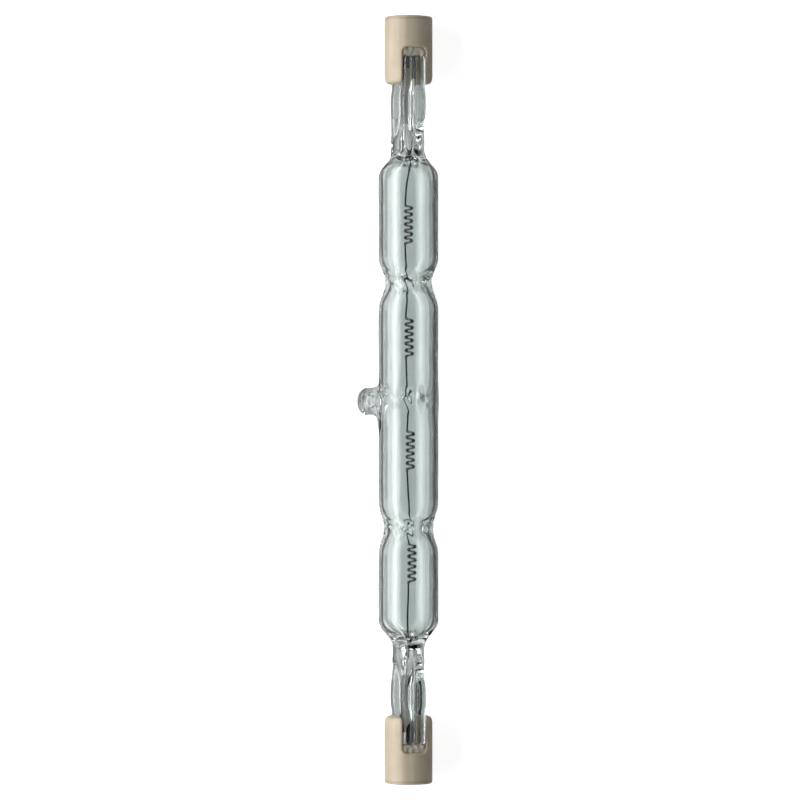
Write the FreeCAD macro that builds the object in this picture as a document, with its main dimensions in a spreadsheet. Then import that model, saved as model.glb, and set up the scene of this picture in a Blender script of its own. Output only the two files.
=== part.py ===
import FreeCAD, Part
import math
import os
import Sketcher

# A double-ended halogen lamp lying on a table. Lengths are in millimetres, angles in degrees.
# Every piece is drawn about the lamp's own axis, which runs along X from the left end to the right
# end, with the cap slots opening along Z. One shared placement then lays the lamp on the table:
# it rests on its round tube and is kept from rolling by the exhaust tip.

DRIVING = {
    # whole lamp
    "overall_length": 117.6,
    "end_length": 24.5,
    # quartz tube
    "tube_diameter": 9.16,
    "tube_wall": 0.85,
    "shoulder_length": 4.4,
    "shoulder_end_width": 6.5,
    "shoulder_end_thickness": 3.9,
    "cavity_taper_bulge": 5.0,
    "cavity_throat_diameter": 2.4,
    "cavity_tip_diameter": 1.0,
    "cavity_taper_length": 2.6,
    "cavity_tip_length": 0.8,
    # necks in the tube
    "left_neck": -18.0,
    "right_neck": 19.65,
    "left_neck_diameter": 7.15,
    "right_neck_diameter": 7.5,
    "neck_wall": 1.0,
    "neck_flank": 19.0,
    "neck_crest_radius": 3.3,
    "neck_throat_radius": 1.65,
    # dents that steady the filament
    "middle_support": -0.6,
    "support_clearance": 0.08,
    "support_tip_radius": 1.7,
    "support_wall": 0.8,
    "dent_flare": 0.7,
    # exhaust tip
    "tip_position": 0.2,
    "tip_from_slot": 130.0,
    "tip_diameter": 4.2,
    "tip_reach": 7.8,
    "tip_corner": 1.0,
    "tip_dome": 0.12,
    "tip_root_fillet": 0.9,
    "tip_bore_diameter": 1.7,
    "tip_bore_end_diameter": 0.7,
    "tip_seal_length": 1.5,
    # pressed seals
    "seal_inset": 5.9,
    "seal_width": 6.8,
    "seal_thickness": 3.6,
    "seal_corner": 0.5,
    "seal_root_step": 3.3,
    "seal_root_width": 6.3,
    "seal_root_thickness": 2.9,
    "seal_root_corner": 0.8,
    "seal_taper_length": 5.8,
    "web_thickness": 1.6,
    "web_width": 3.8,
    "web_lip": 0.3,
    "edge_groove_width": 0.7,
    "edge_groove_depth": 0.4,
    # foils and leads
    "foil_step": 8.0,
    "foil_length": 8.6,
    "foil_width": 2.4,
    "foil_thickness": 0.04,
    "inner_lead_diameter": 0.6,
    "outer_lead_diameter": 0.7,
    "inner_lead_step": 2.1,
    "weld_length": 1.6,
    "weld_flat": 0.06,
    # caps
    "cap_diameter": 7.36,
    "cap_length": 10.4,
    "cap_edge": 0.7,
    "cap_round": 0.3,
    "slot_corner": 1.0,
    "slot_corner_share": 0.9,
    "slot_clearance": 0.05,
    "recess_diameter": 4.2,
    "seat_diameter": 3.8,
    "lead_hole_diameter": 1.8,
    "cement_length": 1.0,
    "cement_height": 5.8,
    "cement_grip": 3.6,
    # contacts
    "contact_depth": 1.7,
    "contact_thickness": 0.5,
    "contact_clearance": 0.05,
    "contact_edge": 0.15,
    # filament
    "coil_first": -26.9,
    "coil_spacing": 17.33,
    "coil_length": 6.0,
    "coil_turns": 6.0,
    "coil_mean_diameter": 1.04,
    "coil_wire": 0.44,
    "leg_wire": 0.34,
    "leg_stub": 1.0,
    "elbow_bulge": 1.12,
    "coil_side_step": 0.17,
}

DERIVED = {
    "tube_r": "tube_diameter / 2",
    "bore_r": "tube_r - tube_wall",
    "tube_half": "overall_length / 2 - end_length",
    "cavity_throat": "tube_half + cavity_taper_length",
    "cavity_tip": "cavity_throat + cavity_tip_length",
    # the tip's rounded corner and the tube touch the table together
    "tip_r": "tip_diameter / 2",
    "tip_corner_side": "tip_r - tip_corner",
    "tip_corner_reach": "tip_reach - tip_corner",
    "tip_corner_far": "sqrt(tip_corner_side ^ 2 + tip_corner_reach ^ 2)",
    "tip_droop": "(asin((tube_r - tip_corner) / tip_corner_far)"
                 " - atan(tip_corner_side / tip_corner_reach)) / 1 deg",
    "tip_side_reach": "tip_corner_reach * cos(tip_droop) + tip_corner_side * sin(tip_droop)"
                      " + tip_corner",
    "rest_roll": "90 + tip_droop - tip_from_slot",
    "axis_side": "(tip_side_reach - tube_r) / 2",
    "support_half_gap": "leg_wire / 2 + support_clearance",
    "support_centre": "support_half_gap + support_tip_radius",
    "dent_r": "support_tip_radius - support_wall",
    # seal, foil and leads
    "seal_root": "tube_half + seal_root_step",
    "seal_taper_end": "seal_root + seal_taper_length",
    "seal_end": "overall_length / 2 - seal_inset",
    "seal_half_width": "seal_width / 2",
    "seal_half": "seal_thickness / 2",
    "web_half": "web_thickness / 2",
    "web_half_width": "web_width / 2",
    "groove_half": "edge_groove_width / 2",
    "foil_start": "tube_half + foil_step",
    "foil_end": "foil_start + foil_length",
    "inner_lead_end": "tube_half + inner_lead_step",
    "inner_lead_r": "inner_lead_diameter / 2",
    "outer_lead_r": "outer_lead_diameter / 2",
    # cap, cement and contact
    "cap_r": "cap_diameter / 2",
    "cap_end": "overall_length / 2",
    "cap_start": "cap_end - cap_length",
    "slot_end": "seal_end + cement_length",
    "slot_round": "min(slot_corner; cement_length * slot_corner_share)",
    "slot_half": "seal_half + slot_clearance",
    "recess_r": "recess_diameter / 2",
    "seat_r": "seat_diameter / 2",
    "lead_hole_r": "lead_hole_diameter / 2",
    "contact_face": "cap_end - contact_depth",
    "contact_back": "contact_face - contact_thickness",
    "contact_r": "seat_r - contact_clearance",
    "grip_start": "seal_end - cement_grip",
    "coil_r": "coil_mean_diameter / 2",
}

SIDES = {"left": -1, "right": 1}
COILS = 4
COIL_WIRE_SIDES = 6
SHOULDER_STEPS = (-0.15, 0.0, 0.33, 0.67, 1.0, 1.15)
OVERRUN = 2.0
SEAM_POINTS = 8
SEAM_GAP = 0.01

doc = FreeCAD.newDocument("linear_halogen_bulb")
sheet = doc.addObject("Spreadsheet::Sheet", "dims")


def fill_sheet():
    """Driving sizes as plain numbers, then the sizes worked out from them as formulas."""
    rows = [(name, str(value)) for name, value in DRIVING.items()]
    rows += [(name, "=" + formula) for name, formula in DERIVED.items()]
    for number, (name, content) in enumerate(rows, start=1):
        sheet.set(f"A{number}", name)
        sheet.set(f"B{number}", content)
        sheet.setAlias(f"B{number}", name)
    doc.recompute()


def size(formula):
    """The number that a formula of sheet names gives."""
    return float(sheet.evalExpression(formula))


def sheet_formula(formula):
    """The same formula as another object has to write it, with the sheet's name before each alias."""
    words = []
    word = ""
    for letter in formula + " ":
        if letter.isalnum() or letter == "_":
            word += letter
            continue
        if word in DRIVING or word in DERIVED:
            word = "dims." + word
        words.append(word + letter)
        word = ""
    return "".join(words).strip()


def bind(thing, **formulas):
    """Binds properties such as Length or Placement.Base.x (written Placement_Base_x) to the sheet."""
    for name, formula in formulas.items():
        thing.setExpression(name.replace("_", "."), sheet_formula(formula))


def rest_pose(side="right"):
    """Where the lamp lies on the table. The left end's pieces are the right end's, turned about Z."""
    roll = FreeCAD.Rotation(FreeCAD.Vector(1, 0, 0), size("rest_roll"))
    pose = FreeCAD.Placement(FreeCAD.Vector(0, size("axis_side"), size("tube_r")), roll)
    return pose.multiply(end_turn(side))


def end_turn(side):
    """The half turn about Z that carries a right-end piece to the given end."""
    half_turn = 180 if side == "left" else 0
    return FreeCAD.Placement(FreeCAD.Vector(), FreeCAD.Rotation(FreeCAD.Vector(0, 0, 1), half_turn))


def new_body(label):
    body = doc.addObject("PartDesign::Body", label)
    body.Label = label
    return body


def new_sketch(body, name, plane, at="0", turn=None):
    """A sketch on one of its body's origin planes, moved along the plane's normal and turned about X."""
    sketch = body.newObject("Sketcher::SketchObject", name)
    origin_plane = next(f for f in body.Origin.OriginFeatures if f.Role == plane)
    sketch.AttachmentSupport = (origin_plane, [""])
    sketch.MapMode = "FlatFace"
    if turn:
        sketch.AttachmentOffset = FreeCAD.Placement(
            FreeCAD.Vector(), FreeCAD.Rotation(FreeCAD.Vector(1, 0, 0), size(turn)))
        bind(sketch, AttachmentOffset_Rotation_Angle=turn)
    if at != "0":
        bind(sketch, AttachmentOffset_Base_z=at)
    return sketch


def opposite(formula):
    return formula if formula == "0" else f"-({formula})"


def arc_middle(start, end, radius):
    """The middle of the minor arc from start to end. A negative radius bends the other way."""
    chord = end - start
    half = chord.Length / 2
    sagitta = abs(radius) - math.sqrt(max(radius ** 2 - half ** 2, 0.0))
    left = FreeCAD.Vector(-chord.y, chord.x, 0).normalize()
    return (start + end) * 0.5 + left * math.copysign(sagitta, -radius)


def pin_point(sketch, edge, end, corner):
    """Holds one end of an edge at a corner's two formulas."""
    for kind, axis, formula in (("DistanceX", -2, corner[0]), ("DistanceY", -1, corner[1])):
        if formula == "0":
            sketch.addConstraint(Sketcher.Constraint("PointOnObject", edge, end, axis))
            continue
        number = sketch.addConstraint(Sketcher.Constraint(kind, -1, 1, edge, end, size(formula)))
        sketch.setExpression(f"Constraints[{number}]", sheet_formula(formula))


def closed_profile(sketch, corners):
    """Draws one closed outline. A corner is (x, y), or (x, y, radius) if an arc leaves it:
    a positive radius bulges to the right of the way along the outline."""
    points = [FreeCAD.Vector(size(c[0]), size(c[1]), 0) for c in corners]
    edges = []
    for i, corner in enumerate(corners):
        start, end = points[i], points[(i + 1) % len(points)]
        if len(corner) == 2:
            edges.append((sketch.addGeometry(Part.LineSegment(start, end)), 1, 2))
            continue
        arc = Part.Arc(start, arc_middle(start, end, size(corner[2])), end)
        edge = sketch.addGeometry(arc)
        from_first = sketch.getPoint(edge, 1).distanceToPoint(start)
        from_last = sketch.getPoint(edge, 2).distanceToPoint(start)
        edges.append((edge, 1, 2) if from_first < from_last else (edge, 2, 1))
    for i, (edge, start, end) in enumerate(edges):
        following, first, _ = edges[(i + 1) % len(edges)]
        sketch.addConstraint(Sketcher.Constraint("Coincident", edge, end, following, first))
    for corner, (edge, start, _) in zip(corners, edges):
        pin_point(sketch, edge, start, corner)
        if len(corner) == 3:
            number = sketch.addConstraint(Sketcher.Constraint("Radius", edge, abs(size(corner[2]))))
            sketch.setExpression(f"Constraints[{number}]", f"abs({sheet_formula(corner[2])})")


def circle(sketch, y_place, radius):
    """A circle whose centre lies on the sketch's first axis."""
    number = sketch.addGeometry(Part.Circle(FreeCAD.Vector(size(y_place), 0, 0),
                                            FreeCAD.Vector(0, 0, 1), size(radius)))
    pin_point(sketch, number, 3, (y_place, "0"))
    constraint = sketch.addConstraint(Sketcher.Constraint("Radius", number, size(radius)))
    sketch.setExpression(f"Constraints[{constraint}]", sheet_formula(radius))


def rounded_box(sketch, half_x, half_y, corner):
    """A rectangle about the origin with round corners."""
    x_in, y_in = f"{half_x} - {corner}", f"{half_y} - {corner}"
    closed_profile(sketch, [
        (half_x, opposite(y_in)),
        (half_x, y_in, corner),
        (x_in, half_y),
        (opposite(x_in), half_y, corner),
        (opposite(half_x), y_in),
        (opposite(half_x), opposite(y_in), corner),
        (opposite(x_in), opposite(half_y)),
        (x_in, opposite(half_y), corner),
    ])


def revolve(body, name, sketch, axis="H_Axis"):
    feature = body.newObject("PartDesign::Revolution", name)
    feature.Profile = sketch
    feature.ReferenceAxis = (sketch, [axis])
    feature.Angle = 360
    return feature


def pad(body, name, sketch, length, symmetric=False):
    feature = body.newObject("PartDesign::Pad", name)
    feature.Profile = sketch
    feature.SideType = "Symmetric" if symmetric else "One side"
    bind(feature, Length=length)
    return feature


def through_pocket(body, name, sketch):
    """Cuts a sketch right through its body, both ways."""
    feature = body.newObject("PartDesign::Pocket", name)
    feature.Profile = sketch
    feature.SideType = "Symmetric"
    feature.Type = "ThroughAll"
    return feature


def fuse(label, shapes):
    joined = doc.addObject("Part::MultiFuse", label)
    joined.Shapes = shapes
    return joined


def cut(label, base, tool):
    result = doc.addObject("Part::Cut", label)
    result.Base = base
    result.Tool = tool
    result.Label = label
    return result


def neck_corners(place, depth, wide, crest, throat):
    """One neck of a turned outline, from left to right: crest arc, flank, throat arc, flank, crest arc.
    The outline runs at the radius wide and dips by depth at place."""
    rise = "(1 - cos(neck_flank))"
    flank = f"(({depth} - ({crest} + {throat}) * {rise}) / sin(neck_flank))"
    throat_half = f"({throat}) * sin(neck_flank)"
    flank_half = f"({throat_half} + {flank} * cos(neck_flank))"
    neck_half = f"({flank_half} + ({crest}) * sin(neck_flank))"
    low = f"{wide} - {depth} + ({throat}) * {rise}"
    high = f"{wide} - ({crest}) * {rise}"
    return [
        (f"{place} - {neck_half}", wide, opposite(crest)),
        (f"{place} - {flank_half}", high),
        (f"{place} - {throat_half}", low, throat),
        (f"{place} + {throat_half}", low),
        (f"{place} + {flank_half}", high, opposite(crest)),
        (f"{place} + {neck_half}", wide),
    ]


def make_vessel():
    """The tube's outside with its two necks, and the exhaust tip's outside with a filleted root."""
    body = new_body("vessel")
    outline = new_sketch(body, "tube_outline", "XY_Plane")
    crest, throat = "neck_crest_radius", "neck_throat_radius"
    corners = [("-tube_half", "0"), ("-tube_half", "tube_r")]
    for side in SIDES:
        depth = f"(tube_r - {side}_neck_diameter / 2)"
        corners += neck_corners(f"{side}_neck", depth, "tube_r", crest, throat)
    corners += [("tube_half", "tube_r"), ("tube_half", "0")]
    closed_profile(outline, corners)
    revolve(body, "tube", outline)

    button = new_sketch(body, "tip_outline", "XY_Plane", turn="tip_from_slot + 90")
    bind(button, AttachmentOffset_Base_x="tip_position")
    closed_profile(button, [
        ("0", "bore_r"),
        ("tip_r", "bore_r"),
        ("tip_r", "tip_corner_reach", "tip_corner"),
        ("tip_corner_side", "tip_reach", "(tip_corner_side ^ 2 + tip_dome ^ 2) / (2 * tip_dome)"),
        ("0", "tip_reach + tip_dome"),
    ])
    tip = revolve(body, "tip", button, "V_Axis")
    doc.recompute()

    root = body.newObject("PartDesign::Fillet", "tip_root")
    root.Base = (tip, [seam_edge(body)])
    bind(root, Radius="tip_root_fillet")
    body.Tip = root
    return body


def seam_edge(body):
    """The name of the edge where the exhaust tip leaves the tube: every point of it lies on both."""
    tube_r, tip_r = size("tube_r"), size("tip_r")
    turn = FreeCAD.Rotation(FreeCAD.Vector(1, 0, 0), size("tip_from_slot + 90"))
    direction = turn.multVec(FreeCAD.Vector(0, 1, 0))
    foot = FreeCAD.Vector(size("tip_position"), 0, 0)
    for number, edge in enumerate(body.Shape.Edges, start=1):
        points = edge.discretize(SEAM_POINTS)
        on_tube = all(abs(math.hypot(p.y, p.z) - tube_r) < SEAM_GAP for p in points)
        on_tip = all(abs((p - foot).cross(direction).Length - tip_r) < SEAM_GAP for p in points)
        if on_tube and on_tip:
            return f"Edge{number}"
    raise RuntimeError("the exhaust tip does not meet the tube")


def smooth_step(step):
    """A step from 0 to 1 that starts and ends level."""
    held = min(max(step, 0.0), 1.0)
    return 3 * held ** 2 - 2 * held ** 3


def make_shoulder(label, side):
    """The way from the round tube to the flat seal: ellipses on a smooth step, lofted."""
    across = FreeCAD.Rotation(FreeCAD.Vector(0, 1, 0), -90)
    rings = []
    for number, step in enumerate(SHOULDER_STEPS):
        blend = smooth_step(step)
        ring = doc.addObject("Part::Ellipse", f"{label}_ring_{number}")
        ring.Placement = FreeCAD.Placement(FreeCAD.Vector(), across)
        bind(ring, MajorRadius=f"tube_r + (shoulder_end_width / 2 - tube_r) * {blend}",
             MinorRadius=f"tube_r + (shoulder_end_thickness / 2 - tube_r) * {blend}",
             Placement_Base_x=f"{SIDES[side]} * (tube_half + shoulder_length * {step})")
        rings.append(ring)
    shoulder = doc.addObject("Part::Loft", label)
    shoulder.Sections = rings
    shoulder.Solid = True
    return shoulder


def make_seal(label, side):
    """One pressed seal: a tapered root, then a blade with four corner beads, a thin web between them
    on each face, and a groove along each edge where the press jaws met."""
    body = new_body(label)
    body.Placement = end_turn(side)
    root = new_sketch(body, f"{label}_root", "YZ_Plane", at="seal_root")
    rounded_box(root, "seal_root_thickness / 2", "seal_root_width / 2", "seal_root_corner")
    shoulder = new_sketch(body, f"{label}_full", "YZ_Plane", at="seal_taper_end")
    rounded_box(shoulder, "seal_half", "seal_half_width", "seal_corner")
    taper = body.newObject("PartDesign::AdditiveLoft", f"{label}_taper")
    taper.Profile = root
    taper.Sections = [shoulder]

    blade = new_sketch(body, f"{label}_section", "YZ_Plane", at="seal_taper_end")
    quadrant = [
        ("web_half", "web_half_width"),
        ("seal_half - web_lip", "web_half_width", "web_lip"),
        ("seal_half", "web_half_width + web_lip"),
        ("seal_half", "seal_half_width - seal_corner", "seal_corner"),
        ("seal_half - seal_corner", "seal_half_width"),
        ("groove_half", "seal_half_width"),
    ]
    groove = ("0", "seal_half_width - edge_groove_depth")
    closed_profile(blade, quadrant + [groove] + mirrored(quadrant, flip_x=True)
                   + mirrored(mirrored(quadrant, flip_x=True), flip_y=True)
                   + [("0", opposite(groove[1]))] + mirrored(quadrant, flip_y=True))
    pad(body, f"{label}_blade", blade, "seal_end - seal_taper_end")
    return body


def mirrored(corners, flip_x=False, flip_y=False):
    """The same stretch of outline seen in a mirror, run the other way."""
    arcs = [c[2] if len(c) == 3 else None for c in corners]
    turned = []
    for corner, arc in zip(reversed(corners), list(reversed(arcs))[1:] + [None]):
        x = opposite(corner[0]) if flip_x else corner[0]
        y = opposite(corner[1]) if flip_y else corner[1]
        turned.append((x, y, arc) if arc else (x, y))
    return turned


def make_cavity():
    """The gas space: the tube's bore with its necks, closed by a taper at each end."""
    body = new_body("cavity")
    outline = new_sketch(body, "cavity_outline", "XY_Plane")
    crest, throat = "(neck_crest_radius - tube_wall)", "(neck_throat_radius + neck_wall)"
    throat_r, tip_r = "cavity_throat_diameter / 2", "cavity_tip_diameter / 2"
    bulge = "-cavity_taper_bulge"
    corners = [
        ("-cavity_tip", "0"),
        ("-cavity_tip", tip_r),
        ("-cavity_throat", throat_r, bulge),
        ("-tube_half", "bore_r"),
    ]
    for side in SIDES:
        depth = f"(bore_r + neck_wall - {side}_neck_diameter / 2)"
        corners += neck_corners(f"{side}_neck", depth, "bore_r", crest, throat)
    corners += [
        ("tube_half", "bore_r", bulge),
        ("cavity_throat", throat_r),
        ("cavity_tip", tip_r),
        ("cavity_tip", "0"),
    ]
    closed_profile(outline, corners)
    revolve(body, "cavity_turned", outline)
    return body


def make_fingers(label, outline):
    """Round fingers along Z towards the filament, a pair at each support. The outline gives one
    finger's half section beside its own axis."""
    body = new_body(label)
    for place in ("left_neck", "middle_support", "right_neck"):
        sketch = new_sketch(body, f"{label}_{place}", "XZ_Plane")
        bind(sketch, AttachmentOffset_Base_x=place)
        closed_profile(sketch, outline(place))
        closed_profile(sketch, [(c[0], opposite(c[1])) + ((opposite(c[2]),) if len(c) == 3 else ())
                                for c in outline(place)])
        revolve(body, f"{label}_{place}_turned", sketch, "V_Axis")
    return body


def bump_outline(place):
    """The glass that a dent pushes in, up to the filament's leg."""
    return [
        ("0", "support_half_gap", "support_tip_radius"),
        ("support_tip_radius", "support_centre"),
        ("support_tip_radius", "tube_r"),
        ("0", "tube_r"),
    ]


def dent_outline(place):
    """The hollow that the tool leaves in the glass, flared where it meets the outside."""
    outside = "tube_r" if place == "middle_support" else f"{place}_diameter / 2"
    return [
        ("0", "support_centre - dent_r", "dent_r"),
        ("dent_r", "support_centre"),
        ("dent_r", f"{outside} - dent_flare"),
        ("dent_r + 2 * dent_flare", f"{outside} + dent_flare"),
        ("dent_r + 2 * dent_flare", "2 * tube_r"),
        ("0", "2 * tube_r"),
    ]


def make_tip_bore():
    """The exhaust tube's own bore, drawn to a point where the tip was melted shut."""
    body = new_body("tip_bore")
    outline = new_sketch(body, "tip_bore_outline", "XY_Plane", turn="tip_from_slot + 90")
    bind(outline, AttachmentOffset_Base_x="tip_position")
    closed_profile(outline, [
        ("0", "bore_r - tube_wall"),
        ("tip_bore_diameter / 2", "bore_r - tube_wall"),
        ("tip_bore_diameter / 2", "tube_r"),
        ("tip_bore_end_diameter / 2", "tip_reach - tip_seal_length - tip_bore_end_diameter / 2",
         "tip_bore_end_diameter / 2"),
        ("0", "tip_reach - tip_seal_length"),
    ])
    revolve(body, "tip_bore_turned", outline, "V_Axis")
    return body


def make_foil(label, pose):
    """A thin molybdenum ribbon in the middle of the seal."""
    body = new_body(label)
    body.Placement = pose
    section = new_sketch(body, f"{label}_section", "YZ_Plane", at="foil_start")
    half_x, half_y = "foil_thickness / 2", "foil_width / 2"
    closed_profile(section, [
        (half_x, opposite(half_y)),
        (half_x, half_y),
        (opposite(half_x), half_y),
        (opposite(half_x), opposite(half_y)),
    ])
    pad(body, f"{label}_ribbon", section, "foil_length")
    return body


def lead_side(radius):
    """How far a lead's centre lies from the lamp's axis: it lies on the foil, on its weld flat."""
    return f"(foil_thickness / 2 + {radius} - weld_flat)"


def make_lead(label, pose, radius, weld_start, round_start, round_length):
    """A molybdenum wire, flattened where it is welded to the foil and round for the rest."""
    body = new_body(label)
    body.Placement = pose
    centre = opposite(lead_side(radius))
    round_part = new_sketch(body, f"{label}_round", "YZ_Plane", at=round_start)
    circle(round_part, centre, radius)
    pad(body, f"{label}_wire", round_part, round_length)
    flat_half = f"sqrt({radius} ^ 2 - ({radius} - weld_flat) ^ 2)"
    far = opposite(f"{lead_side(radius)} + {radius}")
    near = "-(foil_thickness / 2)"
    weld = new_sketch(body, f"{label}_weld_section", "YZ_Plane", at=weld_start)
    closed_profile(weld, [
        (near, opposite(flat_half)),
        (near, flat_half, radius),
        (far, "0", radius),
    ])
    pad(body, f"{label}_weld", weld, "weld_length")
    return body


def make_inner_lead(label, pose):
    return make_lead(label, pose, "inner_lead_r", "foil_start",
                     "inner_lead_end", "foil_start - inner_lead_end")


def make_outer_lead(label, pose):
    return make_lead(label, pose, "outer_lead_r", "foil_end - weld_length",
                     "foil_end", "contact_back - foil_end")


def make_envelope():
    """The quartz vessel: its outside less the gas space, the dents and the room for foils and leads."""
    outside = [make_vessel()]
    for side in SIDES:
        outside.append(make_shoulder(f"{side}_shoulder", side))
        outside.append(make_seal(f"{side}_seal", side))
    gas_space = cut("gas_space", make_cavity(), make_fingers("bumps", bump_outline))
    hollow = [gas_space, make_fingers("dents", dent_outline), make_tip_bore()]
    for side in SIDES:
        turn = end_turn(side)
        hollow.append(make_foil(f"{side}_foil_room", turn))
        hollow.append(make_inner_lead(f"{side}_inner_lead_room", turn))
        hollow.append(make_outer_lead(f"{side}_outer_lead_room", turn))
    envelope = cut("quartz_envelope", fuse("glass_outside", outside), fuse("glass_hollow", hollow))
    envelope.Placement = rest_pose()
    return envelope


def make_cap(label, side):
    """A slotted steatite cap: turned outside, contact recess with a seat for the contact disc, lead
    hole, and a slot for the seal."""
    body = new_body(label)
    body.Placement = rest_pose(side)
    outline = new_sketch(body, f"{label}_outline", "XY_Plane")
    closed_profile(outline, [
        ("cap_start", "0"),
        ("slot_end", "0"),
        ("slot_end", "lead_hole_r"),
        ("contact_back", "lead_hole_r"),
        ("contact_back", "seat_r"),
        ("contact_face", "seat_r"),
        ("contact_face", "recess_r"),
        ("cap_end", "recess_r"),
        ("cap_end", "cap_r - cap_round", "cap_round"),
        ("cap_end - cap_round", "cap_r"),
        ("cap_start + cap_edge", "cap_r"),
        ("cap_start", "cap_r - cap_edge"),
    ])
    revolve(body, f"{label}_turned", outline)
    slot = new_sketch(body, f"{label}_slot_outline", "XY_Plane")
    closed_profile(slot, slot_corners(f"cap_start - {OVERRUN}"))
    through_pocket(body, f"{label}_slot", slot)
    return body


def slot_corners(start):
    """The cap slot's outline from start to its rounded end."""
    return [
        (start, "-slot_half"),
        ("slot_end - slot_round", "-slot_half", "slot_round"),
        ("slot_end", "-(slot_half - slot_round)"),
        ("slot_end", "slot_half - slot_round", "slot_round"),
        ("slot_end - slot_round", "slot_half"),
        (start, "slot_half"),
    ]


def make_cement(label, side):
    """Cement behind the seal's end, with a tongue over each web that grips the beads."""
    body = new_body(label)
    body.Placement = rest_pose(side)
    plug = new_sketch(body, f"{label}_plug_outline", "XY_Plane")
    closed_profile(plug, slot_corners("seal_end"))
    pad(body, f"{label}_plug", plug, "cement_height", symmetric=True)
    tongues = new_sketch(body, f"{label}_tongue_outline", "YZ_Plane", at="grip_start")
    for flip in (False, True):
        tongue = [
            ("web_half", "-web_half_width"),
            ("slot_half", "-web_half_width"),
            ("slot_half", "web_half_width"),
            ("web_half", "web_half_width"),
        ]
        closed_profile(tongues, mirrored(tongue, flip_x=True) if flip else tongue)
    pad(body, f"{label}_tongues", tongues, "cement_grip")
    lead_way = new_sketch(body, f"{label}_lead_outline", "YZ_Plane", at="seal_end")
    circle(lead_way, opposite(lead_side("outer_lead_r")), "outer_lead_r")
    through_pocket(body, f"{label}_lead_way", lead_way)
    return body


def make_contact(label, side):
    """A nickel disc in its seat on the floor of the cap's recess, with a broken edge."""
    body = new_body(label)
    body.Placement = rest_pose(side)
    outline = new_sketch(body, f"{label}_outline", "XY_Plane")
    closed_profile(outline, [
        ("contact_back", "0"),
        ("contact_face", "0"),
        ("contact_face", "contact_r - contact_edge"),
        ("contact_face - contact_edge", "contact_r"),
        ("contact_back", "contact_r"),
    ])
    revolve(body, f"{label}_turned", outline)
    return body


def coil_place(number):
    """The start of a coil's axis."""
    x = size(f"coil_first + coil_spacing * {number} - coil_length / 2")
    return FreeCAD.Vector(x, size(f"coil_side_step * {number}"), 0)


def make_coil(number):
    """One coil: a wire swept along a left-handed helix, which starts and ends on the legs' side.
    The wire has flat sides, because so small a round one would need very many facets."""
    across = FreeCAD.Rotation(FreeCAD.Vector(0, -1, 0), FreeCAD.Vector(0, 0, -1),
                              FreeCAD.Vector(1, 0, 0), "ZXY")
    pose = FreeCAD.Placement(coil_place(number), across)
    helix = doc.addObject("Part::Helix", f"coil_{number}_path")
    helix.LocalCoord = "Left-handed"
    helix.Placement = pose
    bind(helix, Radius="coil_r", Height="coil_length", Pitch="coil_length / coil_turns")
    radius = size("coil_r")
    along = FreeCAD.Vector(0, -2 * math.pi * radius, size("coil_length / coil_turns"))
    facing = FreeCAD.Rotation(FreeCAD.Vector(0, 0, 1), along)
    start = FreeCAD.Placement(FreeCAD.Vector(radius, 0, 0), facing)
    section = doc.addObject("Part::RegularPolygon", f"coil_{number}_section")
    section.Placement = pose.multiply(start)
    section.Polygon = COIL_WIRE_SIDES
    bind(section, Circumradius="coil_wire / 2")
    coil = doc.addObject("Part::Sweep", f"coil_{number}")
    coil.Sections = [section]
    coil.Spine = (helix, ["Edge1"])
    coil.Solid = True
    coil.Frenet = True
    return coil


def make_rod(label, start, end):
    """A straight length of the leg wire."""
    rod = doc.addObject("Part::Cylinder", label)
    rod.Placement = FreeCAD.Placement(start, FreeCAD.Rotation(FreeCAD.Vector(0, 0, 1), end - start))
    rod.Height = (end - start).Length
    bind(rod, Radius="leg_wire / 2")
    return rod


def make_elbow(label, place, wire):
    """The round knee where a leg meets a coil or another stretch of leg, a little fuller than the wire."""
    elbow = doc.addObject("Part::Sphere", label)
    elbow.Placement.Base = place
    bind(elbow, Radius=f"{wire} / 2 * elbow_bulge")
    return elbow


def make_filament():
    """Four coils in line, with straight legs between them and out to the two inner leads."""
    side = FreeCAD.Vector(0, -size("coil_r"), 0)
    run = FreeCAD.Vector(size("coil_length"), 0, 0)
    lead = FreeCAD.Vector(size("inner_lead_end"), -size(lead_side("inner_lead_r")), 0)
    stub = FreeCAD.Vector(size("leg_stub"), 0, 0)
    stops = [-lead, -lead + stub]
    pieces = []
    for number in range(COILS):
        pieces.append(make_coil(number))
        stops += [coil_place(number) + side, coil_place(number) + side + run]
    stops += [lead - stub, lead]
    for number, (start, end) in enumerate(zip(stops, stops[1:])):
        between_coil_ends = number % 2 == 0 and 0 < number < len(stops) - 2
        if not between_coil_ends:
            pieces.append(make_rod(f"leg_{number}", start, end))
    for number, place in enumerate(stops[1:-1], start=1):
        wire = "leg_wire" if number in (1, len(stops) - 2) else "coil_wire"
        pieces.append(make_elbow(f"elbow_{number}", place, wire))
    filament = fuse("filament", pieces)
    filament.Placement = rest_pose()
    return filament


def check_and_write(pieces):
    """Stops if any object failed or any piece is empty or broken, then writes one file a piece."""
    doc.recompute()
    failed = [o.Label for o in doc.Objects if "Invalid" in o.State or "Error" in o.State]
    for piece in pieces:
        shape = piece.Shape
        if shape.isNull() or not shape.isValid() or len(shape.Solids) != 1:
            failed.append(piece.Label)
    if failed:
        raise RuntimeError("not built: " + ", ".join(failed))
    os.makedirs("parts", exist_ok=True)
    for piece in pieces:
        piece.Shape.exportStep(f"parts/{piece.Label}.step")


fill_sheet()
all_pieces = [make_envelope(), make_filament()]
for end in SIDES:
    all_pieces += [
        make_inner_lead(f"{end}_inner_lead", rest_pose(end)),
        make_foil(f"{end}_foil", rest_pose(end)),
        make_outer_lead(f"{end}_outer_lead", rest_pose(end)),
        make_cement(f"{end}_cement", end),
        make_cap(f"{end}_cap", end),
        make_contact(f"{end}_contact", end),
    ]
check_and_write(all_pieces)
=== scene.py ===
import math

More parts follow.
